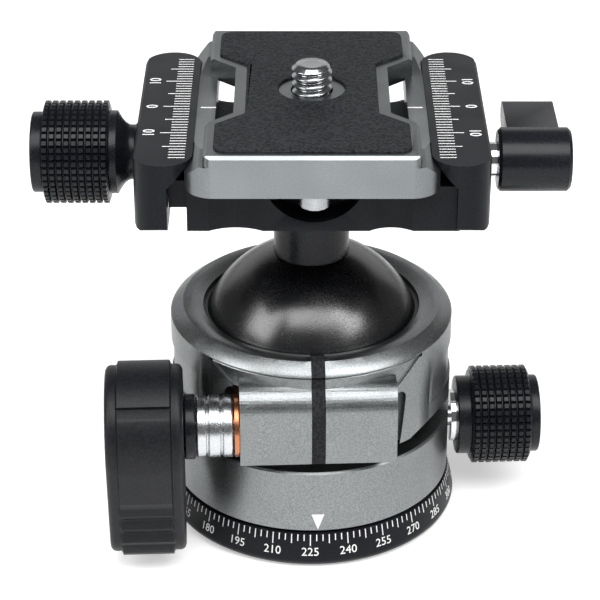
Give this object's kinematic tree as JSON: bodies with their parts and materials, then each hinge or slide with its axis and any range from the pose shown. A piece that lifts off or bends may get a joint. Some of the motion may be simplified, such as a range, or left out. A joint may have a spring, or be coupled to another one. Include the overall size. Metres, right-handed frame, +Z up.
{
  "type": "tripod ball head",
  "caption": "Tripod ball head: panning base, split collar with lever-like lock knob, ball with stem, quick-release clamp and camera plate.",
  "frame": {"origin": "centre of the base's underside, at the mouth of the tripod thread", "axes": "+Z up along the pan axis to the camera screw, -Y to the front with the split strip, +X to the right, where the pan lock knob is"},
  "size_m": [0.0854, 0.0578, 0.0793],
  "materials": {
    "black_anodised": "satin black anodised, lightly bead-blasted",
    "titanium_anodised": "titanium-grey anodised, bead-blasted",
    "plate_anodised": "grey anodised, fine blasted",
    "steel": "plain turned steel",
    "chrome": "polished chrome plating",
    "copper": "copper-coloured bearing washer",
    "brass": "turned brass",
    "rubber": "matte black rubber",
    "strip_rubber": "dark grey grained rubber",
    "nylon": "natural acetal",
    "liner": "black acetal"
  },
  "bodies": {
    "base": {"pan_base": "black_anodised", "tripod_bushing": "steel", "pan_washer": "nylon", "pan_retainer": "steel", "retainer_screws": "steel"},
    "housing": {"housing": "titanium_anodised", "seat_carrier": "black_anodised", "ball_liner": "liner", "split_strip": "strip_rubber", "lock_nut": "steel", "lock_washer": "copper", "pan_shoe": "brass"},
    "lock_knob": {"lock_screw": "steel", "lock_sleeve": "chrome", "lock_hub": "black_anodised", "lock_grip": "rubber"},
    "pan_knob": {"pan_screw": "steel", "pan_knob": "black_anodised", "pan_knob_cap": "black_anodised"},
    "seat": {"ball_seat": "nylon"},
    "ball": {"ball": "black_anodised", "stem": "black_anodised", "stem_retainer": "steel", "stem_screw": "steel"},
    "clamp": {"clamp_base": "black_anodised", "lever_pad": "brass"},
    "jaw": {"moving_jaw": "black_anodised", "guide_pins": "steel"},
    "clamp_knob": {"clamp_screw": "steel", "screw_clip": "steel", "clamp_knob": "black_anodised", "clamp_knob_cap": "black_anodised"},
    "lever": {"lever_screw": "chrome", "pan_lever": "black_anodised"},
    "plate": {"quick_plate": "plate_anodised", "plate_pad": "rubber", "safety_pins": "steel"},
    "camera_screw": {"camera_screw": "chrome"}
  },
  "joints": [
    {"name": "base_pan", "type": "hinge", "parent": "base", "child": "housing", "pos_m": [0, 0, 0.0064], "axis": [0, 0, 1], "continuous": true},
    {"name": "lock_knob_turn", "type": "hinge", "parent": "housing", "child": "lock_knob", "pos_m": [0.00094, -0.02068, 0.0255], "axis": [0.999, 0.0454, 0], "range_deg": [-180, 0]},
    {"name": "pan_knob_turn", "type": "hinge", "parent": "housing", "child": "pan_knob", "pos_m": [0, 0, 0.0139], "axis": [0.999, 0.0454, 0], "range_deg": [0, 360]},
    {"name": "ball_side_tilt", "type": "hinge", "parent": "housing", "child": "seat", "pos_m": [0, 0, 0.0285], "axis": [-0.0454, 0.999, 0], "range_deg": [-30, 30]},
    {"name": "ball_fore_tilt", "type": "hinge", "parent": "seat", "child": "ball", "pos_m": [0, 0, 0.0285], "axis": [0.999, 0.0454, 0], "range_deg": [-90, 30]},
    {"name": "top_pan", "type": "hinge", "parent": "ball", "child": "clamp", "pos_m": [0, 0, 0.0597], "axis": [0, 0, 1], "continuous": true},
    {"name": "jaw_slide", "type": "slide", "parent": "clamp", "child": "jaw", "axis": [-1, 0, 0], "range_m": [0, 0.006]},
    {"name": "clamp_knob_turn", "type": "hinge", "parent": "jaw", "child": "clamp_knob", "pos_m": [-0.03, 0, 0.0634], "axis": [1, 0, 0], "range_deg": [-1, 2161]},
    {"name": "pan_lever_turn", "type": "hinge", "parent": "clamp", "child": "lever", "pos_m": [0.035, 0, 0.0621], "axis": [1, 0, 0], "range_deg": [0, 90]},
    {"name": "plate_slide", "type": "slide", "parent": "clamp", "child": "plate", "axis": [0, 1, 0], "range_m": [-0.003, 0.003]},
    {"name": "camera_screw_turn", "type": "hinge", "parent": "plate", "child": "camera_screw", "pos_m": [0, 0, 0.07], "axis": [0, 0, 1], "continuous": true}
  ],
  "couplings": [
    {"joint": "clamp_knob_turn", "follows": "jaw_slide", "rad_per_m": 6283.2}
  ]
}
